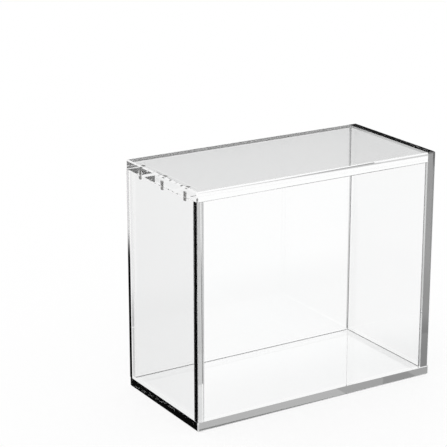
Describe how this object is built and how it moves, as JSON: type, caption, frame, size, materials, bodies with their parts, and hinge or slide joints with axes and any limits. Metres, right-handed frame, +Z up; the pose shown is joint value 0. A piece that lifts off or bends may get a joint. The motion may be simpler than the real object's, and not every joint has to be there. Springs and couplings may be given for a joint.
{
  "type": "trading card display case",
  "caption": "Clear acrylic box with a removable end panel held by small cylinder magnets, made to show one boxed set of trading cards on a shelf.",
  "frame": {"origin": "centre of the case's underside, where it rests on a shelf", "axes": "+X along the case's length, towards its fixed end, so the removable end panel faces -X; the front faces -Y; +Z up"},
  "size_m": [0.2094, 0.1024, 0.181],
  "materials": {
    "clear_acrylic": "polished",
    "magnet_nickel": "polished"
  },
  "bodies": {
    "case": {"base_panel": "clear_acrylic", "top_panel": "clear_acrylic", "front_panel": "clear_acrylic", "back_panel": "clear_acrylic", "fixed_end_panel": "clear_acrylic", "top_magnet_front": "magnet_nickel", "top_magnet_middle": "magnet_nickel", "top_magnet_back": "magnet_nickel"},
    "end_panel": {"removable_end_panel": "clear_acrylic", "end_panel_magnet_front": "magnet_nickel", "end_panel_magnet_middle": "magnet_nickel", "end_panel_magnet_back": "magnet_nickel"}
  },
  "joints": [
    {"name": "end_panel_slide", "type": "slide", "parent": "case", "child": "end_panel", "axis": [-1, 0, 0], "range_m": [0, 0.06]}
  ]
}
